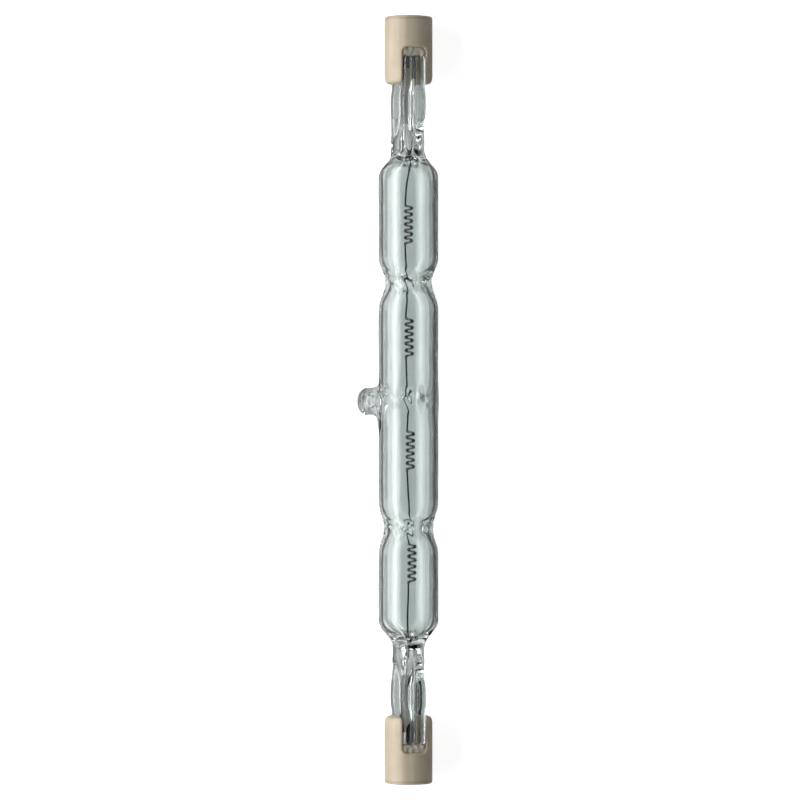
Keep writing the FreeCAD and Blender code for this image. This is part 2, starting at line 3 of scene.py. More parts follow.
import bpy
import numpy as np
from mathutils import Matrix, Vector


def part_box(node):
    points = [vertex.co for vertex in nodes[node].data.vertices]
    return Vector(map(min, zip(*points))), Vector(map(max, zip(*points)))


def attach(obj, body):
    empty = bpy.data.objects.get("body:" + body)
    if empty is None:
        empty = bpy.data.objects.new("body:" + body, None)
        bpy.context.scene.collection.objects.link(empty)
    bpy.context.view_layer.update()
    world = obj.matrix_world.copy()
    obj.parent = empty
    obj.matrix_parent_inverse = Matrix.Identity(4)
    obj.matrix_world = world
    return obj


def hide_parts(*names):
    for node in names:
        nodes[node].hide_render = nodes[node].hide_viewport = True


# The looks of a double-ended halogen lamp. Shapes are drawn in millimetres about the lamp's own axis:
# x runs along the lamp, v across the flat seals and w along the caps' slots. The frame says where that
# axis lies and how far the lamp has rolled, and every mesh is then written in the row's metres.

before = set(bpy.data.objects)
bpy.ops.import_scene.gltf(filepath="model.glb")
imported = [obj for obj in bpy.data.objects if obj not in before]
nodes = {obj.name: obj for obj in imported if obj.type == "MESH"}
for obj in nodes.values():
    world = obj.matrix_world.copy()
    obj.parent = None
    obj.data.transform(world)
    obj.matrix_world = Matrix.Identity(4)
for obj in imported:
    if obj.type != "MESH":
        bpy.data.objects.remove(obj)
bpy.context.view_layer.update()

MM = 0.001
ENDS = {"left": -1, "right": 1}

# Quartz tube, in millimetres.
TUBE_R = 4.58
BORE_R = 3.73
TUBE_HALF = 34.3
SHOULDERS = {-1: (34.3, 38.8), 1: (33.9, 38.6)}
SHOULDER_TOP = (33.5, 40.0)
SHOULDER_END = 39.8
SHOULDER_HALF_WIDTH = 3.3
SHOULDER_HALF_THICKNESS = 1.6
NECKS = ((-18.0, 3.575), (19.65, 3.75))
NECK_HALF_LENGTH = 3.9
NECK_WALL = 1.0
SHOULDER_ROUND = 1.0
SEAL_BLEND = 1.8
CAVITY_BENDS = {-1: (33.6, 37.7, 2.6, 1.2), 1: (33.4, 37.3, 2.2, 1.5)}
CAVITY_DIP = 0.45
CAVITY_ROUND = 0.3
CAVITY_LEAST = 0.05
CAVITY_END_SCALE = 0.7
SHEATH_R = 0.22
SHEATH_FROM = 36.2
SHEATH_FLARE = 0.9
DENTS = ((-18.0, 0.55, 1.5), (-0.6, -0.35, 1.1), (19.65, 0.3, 1.5))
DENT_LENGTH = 1.15
DENT_WIDTH = 0.85
DENT_EASE = (0.2, 1.2)
SWELL_LENGTH = 2.2
SWELL_FROM = (0.5, 4.4)
SWELL_OUTSIDE = 0.08
SWELL_INSIDE = 0.2

# Unevenness of the hot-worked glass. Each wave of the waver has a size, a pitch along the lamp, a phase and
# a number of waves round the lamp. Each fold has its pitches along x, v and w, and a phase.
WAVES = ((0.016, 0.61, 1.3, 2), (0.008, 1.37, 0.0, -3), (0.008, 0.23, 0.0, 1), (0.002, 2.3, 0.7, 1))
BORE_WAVER = 0.7
BORE_SHIFTS = (1.0, 0.4)
FOLDS = ((2.9, 2.1, 0.0, 0.8), (-1.7, 0.0, 2.4, 0.0), (-3.1, 4.3, 1.9, 0.0))
THIRD_FOLD = 0.6
ROOT_FOLDS = ((-1.1, 5.6, 0.0, 0.0), (1.3, 4.7, 0.0, 0.6))
RIPPLE = 0.05
RIPPLE_AT_TIP = 0.55
RIPPLE_TIP_LENGTH = 1.7
RIPPLE_TIP_FROM = (-5.5, -1.5)
RIPPLE_AT_ROOT = 0.3
CROSSING_AT_ROOT = 0.3
ROOT_MIDDLE = 39.6
ROOT_LENGTH = 2.0

# Exhaust tip.
TIP_X = 0.2
TIP_FROM_SLOT = math.radians(130)
TIP_R = 2.1
TIP_REACH = 8.1
TIP_CORNER = 1.3
TIP_BLEND = 0.9
TIP_BUMP = 0.025
TIP_FOLDS = ((1.2, 3.4, 0.0, 0.0), (2.1, 0.0, 1.5, 0.0))
TIP_BORE_START = 2.5
TIP_BORE_FROM_END = 2.0
TIP_BORE_PLACES = (3.0, TUBE_R, TIP_REACH - 2.5)
TIP_BORE_RADII = (1.0, 0.6, 0.45)
TIP_BUBBLE_R = 0.95
TIP_BUBBLE_FROM_END = 2.2
TIP_BORE_ROUND = 0.4
TIP_BORE_START_ROUND = 0.2
TIP_BORE_BLEND = 0.5
FOOT_OUT = 3.6
FOOT_R = 2.1
FOOT_RUN = (-0.6, 3.4)
FOOT_SHRINK = 0.3
FOOT_BLEND = 1.2
FOOT_WALL = 0.85
FOOT_WALL_BLEND = 0.6

# Pressed seals.
SEAL_START = 36.0
SEAL_END = 52.9
ROOT_FADE = (39.0, 45.0)
ROOT_HALF_WIDTH = 2.5
ROOT_HALF_THICKNESS = 1.25
WEB_HALF_THICKNESS = 0.8
WEB_HALF_WIDTH = 2.35
WEB_CORNER = 0.5
ROOT_CORNER = 0.9
SEAL_ROUND = 0.5
BEAD_R = 0.86
BEAD_V = 0.94
BEAD_W = 2.54
BEAD_SWELL = 0.16
BEAD_SLIMS = (46.2, 48.3)
BEAD_START = 37.8
BEAD_NOSE = 0.55
BEAD_SLENDER = 0.8
BEAD_BLEND = 0.5
BEAD_SPREAD = (38.0, 45.0)
BEAD_PINCH = {-1: {-1: 0.9, 1: 0.5}, 1: {-1: 0.55, 1: 0.5}}

# Caps and cement.
CAP_START = 48.4
CAP_END = 58.8
CAP_R = 3.68
CAP_CORNER = 0.35
CAP_BEVEL = 0.5
BEVEL_SLOPE = 0.71
SLOT_HALF = 1.85
SLOT_END = 53.95
SLOT_CORNER = 0.8
SLOT_HALF_LENGTH = 6.0
SLOT_EDGE = 0.45
RECESS_R = 2.1
RECESS_FLOOR = 57.1
SEAT_R = 1.9
SEAT_FLOOR = 56.6
RECESS_EDGE = 0.15
CEMENT_MIDDLE = 53.4
CEMENT_HALF_LENGTH = 0.7
CEMENT_HALF_WIDTH = SLOT_HALF + 0.05
CEMENT_HALF_HEIGHT = 2.95
CEMENT_CORNER = 0.3
CEMENT_ROUND = 0.4
CEMENT_LUMP = 0.05
CEMENT_GRAIN = 0.03
CEMENT_FOLDS = ((0.0, 5.1, 3.3, 0.0), (4.3, 0.0, 2.1, 0.0), (0.0, -7.0, 9.0, 0.0))

# Where each surface is looked for, and the size of its mesh's cells.
GLASS_BOX = ((-53.2, -7.6, -6.6), (53.2, 4.8, 4.8))
CAVITY_BOX = ((-38.2, -5.6, -5.0), (38.2, 3.9, 3.9))
GLASS_STEP = (0.33, 0.21, 0.21)
CAP_STEP = (0.15, 0.15, 0.15)
CEMENT_REACH = (49.0, 54.5)
CEMENT_BESIDE = (2.2, 3.3)
CEMENT_STEP = (0.14, 0.14, 0.14)
MOVES_ONTO_SURFACE = 3

# Filament.
COIL_FIRST = -26.9
COIL_SPACING = 17.33
COILS = 4
COIL_LENGTH = 6.0
COIL_TURNS = 6
COIL_R = 0.52
COIL_SIDE_STEP = 0.105
COIL_SIDE_POWER = 1.5
COIL_WIRE_R = 0.055
FINE_COIL_R = 0.165
FINE_PITCH = 0.27
LEG_WIRE_R = 0.14
# Bends of a leg before its coil: how far before it, how far aside in coil radii, and how high.
LEG_BENDS = ((3.0, 0.6, 0.0), (0.5, 0.9, -0.1))
FINE_STEPS = 9
COIL_SIDES = 6
LEG_SIDES = 10
LEG_STEP = 0.2
LEG_EASINGS = 4
LEAD_SIDE = 0.26
LEAD_END = 36.4
LEAD_R = {"inner": 0.09, "outer": 0.26}
LEAD_TAPER = 1.2
LEAD_SIDES = 16
LEAD_RINGS = 40

# Camera and picture, in millimetres, measured in the photograph.
PICTURE_WIDTH = 122.8
CAMERA_DISTANCE = 640
AXIS_FROM_MIDDLE = 1.3
SENSOR = 36

# Floor: half its side in metres, how far it lies below the part in millimetres, and its own glow.
FLOOR_HALF = 1.5
FLOOR_DROP = 0.02
FLOOR_LIFT = 0.86
FLOOR_LIFT_IN_GLASS = 0.47

# Cards on the floor. Only glass and metal see them, and they draw the dark lines in the glass. Each one has
# stripes along the lamp, given as places beside the axis in millimetres and shades of grey.
TUBE_STRIPES_LEFT = ((-12.4, 0.95), (-10.2, 0.9), (-9.2, 0.04), (-7.0, 0.04), (-6.4, 0.5), (-5.7, 0.65),
                     (-5.5, 0.4), (-5.3, 0.4), (-5.1, 0.65), (-4.4, 0.7))
TUBE_STRIPES_RIGHT = ((4.4, 0.75), (5.6, 0.6), (6.8, 0.35), (7.8, 0.05), (9.5, 0.05), (10.7, 0.3),
                      (12.0, 0.55), (14.5, 0.95))
NECK_STRIPES_LEFT = ((-12.4, 0.95), (-10.4, 0.9), (-9.6, 0.03), (-7.2, 0.03), (-6.6, 0.9), (-4.4, 0.95))
NECK_STRIPES_RIGHT = ((4.4, 0.95), (6.6, 0.9), (7.2, 0.03), (9.8, 0.03), (10.6, 0.85), (14.5, 0.95))
TIP_STRIPES = ((-12.4, 0.9), (-9.9, 0.7), (-9.4, 0.1), (-8.5, 0.1), (-8.0, 0.8), (-7.0, 0.8), (-6.75, 0.3),
               (-6.5, 0.3), (-6.2, 0.85), (-5.2, 0.85), (-4.4, 0.8))
SHOULDER_STRIPES_LEFT = ((-12.4, 0.95), (-10.2, 0.9), (-9.2, 0.04), (-7.0, 0.04), (-6.4, 0.5), (-4.4, 0.7))
SHOULDER_STRIPES_RIGHT = ((4.4, 0.9), (8.0, 0.85), (9.0, 0.04), (12.3, 0.04), (13.5, 0.7))
ROOT_STRIPES = ((-2.4, 0.9), (-1.9, 0.15), (-1.5, 0.75), (-1.0, 0.8), (-0.7, 0.12), (-0.4, 0.7), (0.1, 0.85),
                (0.3, 0.2), (0.6, 0.8), (1.2, 0.85), (1.4, 0.15), (1.7, 0.8), (2.4, 0.9))
SEAL_STRIPES = {
    "left": ((-12.4, 0.3), (-11.0, 0.05), (-7.0, 0.05), (-5.0, 0.25), (-2.2, 0.6), (-1.4, 0.65), (-1.25, 0.3),
             (-0.5, 0.3), (-0.35, 0.95), (0.7, 0.95), (0.8, 0.5), (1.0, 0.5), (1.15, 0.95), (4.6, 0.9),
             (6.0, 0.2), (13.0, 0.1)),
    "right": ((-12.4, 0.3), (-11.0, 0.05), (-6.0, 0.05), (-4.5, 0.4), (-2.2, 0.6), (-1.4, 0.7), (-1.25, 0.3),
              (-0.5, 0.3), (-0.35, 0.6), (0.6, 0.6), (0.75, 0.02), (1.9, 0.02), (2.1, 0.6), (2.6, 0.15),
              (13.0, 0.1))}
# Dark cards under the caps are a painted shadow of the caps on the floor, seen through the slots.
SLOT_SHADOW_STRIPES = {"left": (((-3.4, 0.05), (0.9, 0.05)), ((2.2, 0.05), (3.4, 0.05))),
                "right": (((-3.4, 0.05), (-0.8, 0.05)), ((0.6, 0.05), (3.4, 0.05)))}
CARD_HEIGHT = 0.05
UPPER_CARD_HEIGHT = 0.1
TUBE_CARD_END = 34.0
NECK_CARD_HALF = 4.2
TIP_CARD = (-2.4, 3.2)
SHOULDER_CARD_END = 43.5
SHOULDER_LEAN = 6.5
ROOT_CARD = (36.8, 43.5)
SEAL_CARD = (43.5, 56.0)
SLOT_SHADOW_CARD = (49.5, 55.0)

# Lamps and bright cards. Each one has a place and size in metres. A lamp then has its watts, and a card its
# strength and its shades from the lower edge up.
WORLD_STRENGTH = 0.33
WORLD_LEFT = (0.75, 0.76, 0.76)
WORLD_RIGHT = (0.04, 0.04, 0.04)
SOFTBOXES = {"key": ((0.0, -0.35, 0.23), (0.44, 0.34), 1.85),
             "side": ((0.0, 0.30, 0.28), (0.44, 0.22), 0.1)}
KEY_SHADES = ((0.0, 0.35), (0.35, 0.45), (0.5, 1.0), (0.7, 1.0), (0.88, 0.1), (1.0, 0.0))
SIDE_SHADES = ((0.0, 0.4), (0.3, 1.0), (0.6, 1.0), (0.85, 0.15), (1.0, 0.0))
LOW_SHADES = ((0.0, 0.6), (0.3, 1.0), (0.7, 1.0), (1.0, 0.0))
GLEAMS = {"left_gleam": ((0.0, -0.36, 0.20), (1.4, 0.34), 7.5, KEY_SHADES),
          "right_gleam": ((0.0, 0.33, 0.24), (1.4, 0.22), 3.4, SIDE_SHADES),
          "low_left_gleam": ((0.0, -0.37, 0.06), (1.4, 0.16), 3.0, LOW_SHADES),
          "low_right_gleam": ((0.0, 0.37, 0.07), (1.4, 0.18), 1.5, LOW_SHADES)}


# The lamp's own frame, read off the CAD.

def node_points(name):
    return np.array([v.co for v in nodes[name].data.vertices], float)


def lamp_pose():
    """The lamp's axis in the row, and the row directions of v and w. The foil is a flat ribbon across the
    slot, so its second longest direction is w."""
    low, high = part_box("right_cap")
    centre = (low + high) / 2
    foil = node_points("right_foil")
    _, _, directions = np.linalg.svd(foil - foil.mean(0))
    w = directions[1] * np.sign(directions[1][2])
    v = np.cross(w, (1.0, 0.0, 0.0))
    return np.array((0.0, centre.y, centre.z)), v, w


AXIS, V_WAY, W_WAY = lamp_pose()
TO_ROW = np.stack(((1.0, 0.0, 0.0), V_WAY, W_WAY))


def to_row(points):
    return points * MM @ TO_ROW + AXIS


# Fields: below zero inside a shape, and roughly the distance to its surface elsewhere.

def smooth_min(a, b, reach):
    h = np.maximum(reach - np.abs(a - b), 0) / reach
    return np.minimum(a, b) - h * h * reach / 4


def smooth_max(a, b, reach):
    return -smooth_min(-a, -b, reach)


def smooth_step(low, high, x):
    t = np.clip((x - low) / (high - low), 0, 1)
    return t * t * (3 - 2 * t)


def ellipse(v, w, half_v, half_w):
    scaled = np.sqrt((v / half_v) ** 2 + (w / half_w) ** 2) + 1e-9
    slope = np.sqrt((v / half_v ** 2) ** 2 + (w / half_w ** 2) ** 2) + 1e-9
    return (scaled - 1) * scaled / slope


def box2(a, b, half_a, half_b, corner):
    """A rectangle with round corners."""
    da, db = np.abs(a) - half_a + corner, np.abs(b) - half_b + corner
    outside = np.hypot(np.maximum(da, 0), np.maximum(db, 0))
    return outside + np.minimum(np.maximum(da, db), 0) - corner


def fold(pitches, x, v, w):
    along, across, up, phase = pitches
    return np.sin(along * x + across * v + up * w + phase)


def waver(x, v, w):
    """The slight unevenness of hot-worked glass."""
    turn = np.arctan2(w, v)
    return sum(size * np.sin(pitch * x + phase + number * turn) for size, pitch, phase, number in WAVES)


def ripple(x, v, w):
    """Small folds in the necks, round the exhaust tip and at the roots of the seals."""
    first, second, third = (fold(pitches, x, v, w) for pitches in FOLDS)
    folds = first * second + THIRD_FOLD * third
    out, _ = along_tip(v, w)
    near_tip = np.exp(-((x - TIP_X) / RIPPLE_TIP_LENGTH) ** 2) * smooth_step(*RIPPLE_TIP_FROM, out)
    share = sum(neck_dip(x, place) ** 2 for place, _ in NECKS) + RIPPLE_AT_TIP * near_tip
    away = np.abs(x)
    crossing = sum(fold(pitches, away, v, w) for pitches in ROOT_FOLDS)
    near_root = np.exp(-((away - ROOT_MIDDLE) / ROOT_LENGTH) ** 2)
    return RIPPLE * (folds * (share + RIPPLE_AT_ROOT * near_root) + CROSSING_AT_ROOT * crossing * near_root)


def neck_dip(x, place):
    reach = np.clip(np.abs(x - place) / NECK_HALF_LENGTH, 0, 1)
    return 0.5 + 0.5 * np.cos(math.pi * reach)


def along_tip(v, w):
    """How far a point lies out along the exhaust tip's axis, and how far beside that axis."""
    way_v, way_w = -math.sin(TIP_FROM_SLOT), math.cos(TIP_FROM_SLOT)
    out = v * way_v + w * way_w
    side = v * way_w - w * way_v
    return out, side


def dimple(x, v, w):
    """How deep the dents press into the glass, on both sides of the lamp."""
    depth = 0 * x
    for place, aside, most in DENTS:
        far = ((x - place) / DENT_LENGTH) ** 2 + ((v - aside * np.sign(w)) / DENT_WIDTH) ** 2
        depth = depth + most * np.exp(-far)
    return depth * smooth_step(*DENT_EASE, np.abs(w))


def tip_foot(x, v, w):
    """The flare where the exhaust tip runs into the tube, drawn out towards the right end."""
    out, aside = along_tip(v, w)
    along = np.clip(x - TIP_X, *FOOT_RUN)
    off = np.hypot(np.hypot(aside, x - TIP_X - along), out - FOOT_OUT)
    return off - FOOT_R + FOOT_SHRINK * np.abs(along)


def side_swell(x, v, w):
    """The glass opposite the exhaust tip, thickened by the heat."""
    out, _ = along_tip(v, w)
    return np.exp(-((x - TIP_X) / SWELL_LENGTH) ** 2) * smooth_step(*SWELL_FROM, -out)


def bead(x, v, w, end, side_v, side_w):
    """One round rail of a pressed seal, with a round end towards the tube."""
    along = end * x
    swell = 1 - smooth_step(*BEAD_SLIMS, along)
    past = np.maximum(BEAD_START + BEAD_R - along, 0) * BEAD_NOSE
    over = np.maximum(along - (SEAL_END - BEAD_R), 0)
    spread = smooth_step(*BEAD_SPREAD, along)
    pinch = BEAD_PINCH[end][side_v]
    off_v = v - side_v * (BEAD_V + BEAD_SWELL * swell) * (pinch + (1 - pinch) * spread)
    radius = (BEAD_R + BEAD_SWELL / 2 * swell) * (BEAD_SLENDER + (1 - BEAD_SLENDER) * spread)
    return np.sqrt(off_v ** 2 + (w - side_w * BEAD_W) ** 2 + past ** 2 + over ** 2) - radius


def seal(x, v, w, end):
    along = end * x
    root = 1 - smooth_step(*ROOT_FADE, along)
    half_v = WEB_HALF_THICKNESS + (ROOT_HALF_THICKNESS - WEB_HALF_THICKNESS) * root
    half_w = WEB_HALF_WIDTH + (ROOT_HALF_WIDTH - WEB_HALF_WIDTH) * root
    body = box2(v, w, half_v, half_w, WEB_CORNER + (ROOT_CORNER - WEB_CORNER) * root)
    for side_v in (-1, 1):
        for side_w in (-1, 1):
            body = smooth_min(body, bead(x, v, w, end, side_v, side_w), BEAD_BLEND)
    body = smooth_max(body, along - SEAL_END, SEAL_ROUND)
    return np.maximum(body, SEAL_START - along)


def glass_outside(x, v, w):
    away = np.abs(x)
    flat = np.where(x < 0, smooth_step(*SHOULDERS[-1], -x), smooth_step(*SHOULDERS[1], x))
    radius = TUBE_R + waver(x, v, w)
    for place, least in NECKS:
        radius = radius - (TUBE_R - least) * neck_dip(x, place)
    radius = radius - dimple(x, v, w) + SWELL_OUTSIDE * side_swell(x, v, w) + ripple(x, v, w)
    half_v = radius + (SHOULDER_HALF_THICKNESS - radius) * flat
    half_w = radius + (SHOULDER_HALF_WIDTH - radius) * smooth_step(*SHOULDER_TOP, away)
    tube = ellipse(v, w, half_v, half_w)
    tube = smooth_max(tube, away - SHOULDER_END, SHOULDER_ROUND)
    seals = np.minimum(seal(x, v, w, -1), seal(x, v, w, 1)) - ripple(x, v, w)
    body = smooth_min(tube, seals, SEAL_BLEND)
    out, off_side = along_tip(v, w)
    off = np.hypot(off_side, x - TIP_X)
    knob = box2(off, out - TIP_REACH / 2, TIP_R, TIP_REACH / 2, TIP_CORNER)
    first, second = (fold(pitches, x, out, off_side) for pitches in TIP_FOLDS)
    knob = knob + TIP_BUMP * first * second
    body = smooth_min(body, tip_foot(x, v, w), FOOT_BLEND)
    return smooth_min(body, knob, TIP_BLEND)


def gas_space(x, v, w):
    away = np.abs(x)
    waver_shift, ripple_shift = BORE_SHIFTS
    radius = BORE_R + BORE_WAVER * waver(x + waver_shift, v, w)
    for place, least in NECKS:
        radius = radius - (BORE_R + NECK_WALL - least) * neck_dip(x, place)
    radius = radius - dimple(x, v, w) - SWELL_INSIDE * side_swell(x, v, w) + ripple(x + ripple_shift, v, w)
    half_v, half_w = radius, radius
    for end, (bend, last, blunt, taper) in CAVITY_BENDS.items():
        closing = np.clip((end * x - bend) / (last - bend), 0, 1)
        half_v = half_v * (1 - closing ** blunt) ** taper
        half_w = half_w * (1 - CAVITY_DIP * (closing ** 2 + closing ** 8))
    space = ellipse(v, w, np.maximum(half_v, CAVITY_LEAST), half_w)
    space = np.where(away > TUBE_HALF, space * CAVITY_END_SCALE, space)
    for end, (_, last, _, _) in CAVITY_BENDS.items():
        space = smooth_max(space, end * x - last, CAVITY_ROUND)
    sheath = np.hypot(v - LEAD_SIDE, w) - SHEATH_R - SHEATH_FLARE * np.maximum(-x - SHEATH_FROM, 0) ** 1.5
    space = np.where(-x > SHEATH_FROM - 1, smooth_max(space, -sheath, CAVITY_ROUND), space)
    out, off_side = along_tip(v, w)
    off = np.hypot(off_side, x - TIP_X)
    bore = off - np.interp(out, TIP_BORE_PLACES, TIP_BORE_RADII)
    bore = smooth_max(bore, out - TIP_REACH + TIP_BORE_FROM_END, TIP_BORE_ROUND)
    bore = smooth_max(bore, TIP_BORE_START - out, TIP_BORE_START_ROUND)
    bubble = np.hypot(off, out - TIP_REACH + TIP_BUBBLE_FROM_END) - TIP_BUBBLE_R
    bore = smooth_min(bore, bubble, TIP_BORE_ROUND)
    space = smooth_min(space, tip_foot(x, v, w) + FOOT_WALL, FOOT_WALL_BLEND)
    return smooth_min(space, bore, TIP_BORE_BLEND)


def cap_field(x, v, w, end):
    along = end * x
    middle, half = (CAP_START + CAP_END) / 2, (CAP_END - CAP_START) / 2
    round_way = np.hypot(v, w)
    body = box2(round_way, along - middle, CAP_R, half, CAP_CORNER)
    bevel = (round_way - CAP_R + CAP_START + CAP_BEVEL - along) * BEVEL_SLOPE
    body = smooth_max(body, bevel, CAP_BEVEL)
    slot = box2(along - SLOT_END + SLOT_HALF_LENGTH, v, SLOT_HALF_LENGTH, SLOT_HALF, SLOT_CORNER)
    body = smooth_max(body, -slot, SLOT_EDGE)
    recess = np.maximum(round_way - RECESS_R, RECESS_FLOOR - along)
    seat = np.maximum(round_way - SEAT_R, SEAT_FLOOR - along)
    return smooth_max(body, -np.minimum(recess, seat), RECESS_EDGE)


def cement_field(x, v, w, end):
    along = end * x
    first, second, grain = (fold(pitches, along, v, w) for pitches in CEMENT_FOLDS)
    lumps = CEMENT_LUMP * first * second + CEMENT_GRAIN * grain
    plug = box2(along - CEMENT_MIDDLE, v, CEMENT_HALF_LENGTH, CEMENT_HALF_WIDTH, CEMENT_CORNER)
    plug = smooth_max(plug, np.abs(w) - CEMENT_HALF_HEIGHT, CEMENT_ROUND)
    return plug + lumps


# Meshes.

CORNERS = [(i, j, k) for i in (0, 1) for j in (0, 1) for k in (0, 1)]
EDGES = [(a, b) for a in CORNERS for b in CORNERS
         if sum(b) - sum(a) == 1 and all(q >= p for p, q in zip(a, b))]


def gradient(field, points, step=0.01):
    slopes = []
    for way in np.eye(3) * step:
        slopes.append((field(*(points + way).T) - field(*(points - way).T)) / (2 * step))
    return np.stack(slopes, 1)


def surface_net(field, low, high, step):
    """The surface where the field is zero, as quads: one point in each cell that the surface crosses,
    moved onto the surface, and one quad round each grid edge that it crosses."""
    lines = [np.arange(a - s, b + 2 * s, s) for a, b, s in zip(low, high, step)]
    value = field(*np.meshgrid(*lines, indexing="ij"))
    inside = value < 0
    cells = tuple(n - 1 for n in value.shape)

    def at(corner, grid):
        return grid[tuple(slice(c, c + n) for c, n in zip(corner, cells))]

    count = sum(at(c, inside).astype(int) for c in CORNERS)
    active = (count > 0) & (count < 8)
    index = np.full(cells, -1)
    index[active] = np.arange(active.sum())
    total, number = np.zeros((active.sum(), 3)), np.zeros(active.sum())
    for a, b in EDGES:
        fa, fb = at(a, value)[active], at(b, value)[active]
        crossed = (fa < 0) != (fb < 0)
        share = np.where(crossed, fa / np.where(crossed, fa - fb, 1), 0)
        place = np.array(a) + share[:, None] * (np.array(b) - np.array(a))
        total += place * crossed[:, None]
        number += crossed
    where = np.argwhere(active)
    points = np.array([line[0] for line in lines]) + (where + total / number[:, None]) * step
    for _ in range(MOVES_ONTO_SURFACE):
        slope = gradient(field, points)
        move = field(*points.T)[:, None] * slope / (slope ** 2).sum(1)[:, None]
        points -= np.clip(move, -max(step), max(step))
    quads = []
    for axis in range(3):
        ahead = tuple(1 if d == axis else 0 for d in range(3))
        shape = tuple(n - o for n, o in zip(value.shape, ahead))
        first = inside[tuple(slice(0, n) for n in shape)]
        second = inside[tuple(slice(o, o + n) for o, n in zip(ahead, shape))]
        crossing = np.argwhere(first != second)
        b, c = (axis + 1) % 3, (axis + 2) % 3
        keep = (crossing[:, b] > 0) & (crossing[:, c] > 0)
        crossing = crossing[keep]
        ring = []
        for db, dc in ((1, 1), (0, 1), (0, 0), (1, 0)):
            cell = crossing.copy()
            cell[:, b] -= db
            cell[:, c] -= dc
            ring.append(index[tuple(cell.T)])
        ring = np.stack(ring, 1)
        outward = first[tuple(crossing.T)]
        ring[~outward] = ring[~outward][:, ::-1]
        quads.append(ring)
    slope = gradient(field, points)
    normals = slope / np.linalg.norm(slope, axis=1)[:, None]
    return points, np.concatenate(quads), normals


def add_mesh(name, points, faces, normals=None):
    """A smooth mesh from points and normals about the lamp's axis."""
    mesh = bpy.data.meshes.new(name)
    mesh.from_pydata(to_row(points).tolist(), [], [list(face) for face in faces])
    mesh.polygons.foreach_set("use_smooth", np.ones(len(mesh.polygons), bool))
    if normals is not None:
        mesh.normals_split_custom_set_from_vertices((normals @ TO_ROW).tolist())
    mesh.update()
    piece = bpy.data.objects.new(name, mesh)
    bpy.context.scene.collection.objects.link(piece)
    return piece


def finish_piece(piece, node, material):
    piece.data.materials.append(material)
    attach(piece, "root")
    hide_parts(node)


def make_envelope(material):
    points, faces, normals = surface_net(glass_outside, *GLASS_BOX, GLASS_STEP)
    inner, inner_faces, inner_normals = surface_net(gas_space, *CAVITY_BOX, GLASS_STEP)
    faces = np.concatenate((faces, inner_faces[:, ::-1] + len(points)))
    points = np.concatenate((points, inner))
    normals = np.concatenate((normals, -inner_normals))
    finish_piece(add_mesh("quartz_glass", points, faces, normals), "quartz_envelope", material)


def make_cap(side, material):
    end = ENDS[side]
    field = lambda x, v, w: cap_field(x, v, w, end)
    low = min(end * CAP_START, end * CAP_END)
    high = low + CAP_END - CAP_START
    net = surface_net(field, (low, -CAP_R, -CAP_R), (high, CAP_R, CAP_R), CAP_STEP)
    finish_piece(add_mesh(f"{side}_ceramic", *net), f"{side}_cap", material)


def make_cement(side, material):
    end = ENDS[side]
    field = lambda x, v, w: cement_field(x, v, w, end)
    low, high = sorted(end * place for place in CEMENT_REACH)
    half_v, half_w = CEMENT_BESIDE
    net = surface_net(field, (low, -half_v, -half_w), (high, half_v, half_w), CEMENT_STEP)
    finish_piece(add_mesh(f"{side}_filling", *net), f"{side}_cement", material)


def tube_along(path, radius, sides):
    """A closed round wire along a path of points, with its own frame carried along the path."""
    ahead = np.gradient(path, axis=0)
    ahead /= np.linalg.norm(ahead, axis=1)[:, None]
    side = np.cross(ahead[0], (0.0, 0.0, 1.0))
    rings, normals = [], []
    turns = np.linspace(0, 2 * math.pi, sides, endpoint=False)
    for place, way, r in zip(path, ahead, np.broadcast_to(radius, len(path))):
        side = side - way * np.dot(side, way)
        side = side / np.linalg.norm(side)
        up = np.cross(way, side)
        normal = np.cos(turns)[:, None] * side + np.sin(turns)[:, None] * up
        rings.append(place + r * normal)
        normals.append(normal)
    count = len(path)
    first = np.arange(count - 1)[:, None] * sides + np.arange(sides)
    following = np.arange(count - 1)[:, None] * sides + (np.arange(sides) + 1) % sides
    faces = np.stack((first, following, following + sides, first + sides), -1).reshape(-1, 4).tolist()
    start_ring = list(range(sides))
    end_ring = [(count - 1) * sides + number for number in start_ring]
    return np.concatenate(rings), faces + [start_ring[::-1], end_ring], np.concatenate(normals)


def eased(values, times):
    for _ in range(times):
        middle = (values[:-2] + 2 * values[1:-1] + values[2:]) / 4
        values = np.concatenate((values[:1], middle, values[-1:]))
    return values


def evenly(path, step):
    """The same path with points an even step apart."""
    lengths = np.concatenate(([0], np.cumsum(np.linalg.norm(np.diff(path, axis=0), axis=1))))
    places = np.linspace(0, lengths[-1], int(lengths[-1] / step) + 2)
    return np.stack([np.interp(places, lengths, path[:, i]) for i in range(3)], 1)


def coil_side(number):
    return COIL_SIDE_STEP * number ** COIL_SIDE_POWER


def leg_paths():
    """The straight wires: from a lead to the first coil, between coils, and to the other lead. Each one
    bends round into the first turn of its coil."""
    paths = []
    start = (-LEAD_END, LEAD_SIDE, 0.0)
    for number in range(COILS + 1):
        points = [start]
        if number < COILS:
            middle = COIL_FIRST + COIL_SPACING * number
            side = coil_side(number)
            end = (middle - COIL_LENGTH / 2, side - COIL_R, 0.0)
            points += [(end[0] - before, side - aside * COIL_R, high) for before, aside, high in LEG_BENDS]
            points.append(end)
            start = (middle + COIL_LENGTH / 2, side - COIL_R, 0.0)
        else:
            points.append((LEAD_END, -LEAD_SIDE, 0.0))
        paths.append(eased(evenly(np.array(points, float), LEG_STEP), LEG_EASINGS))
    return paths


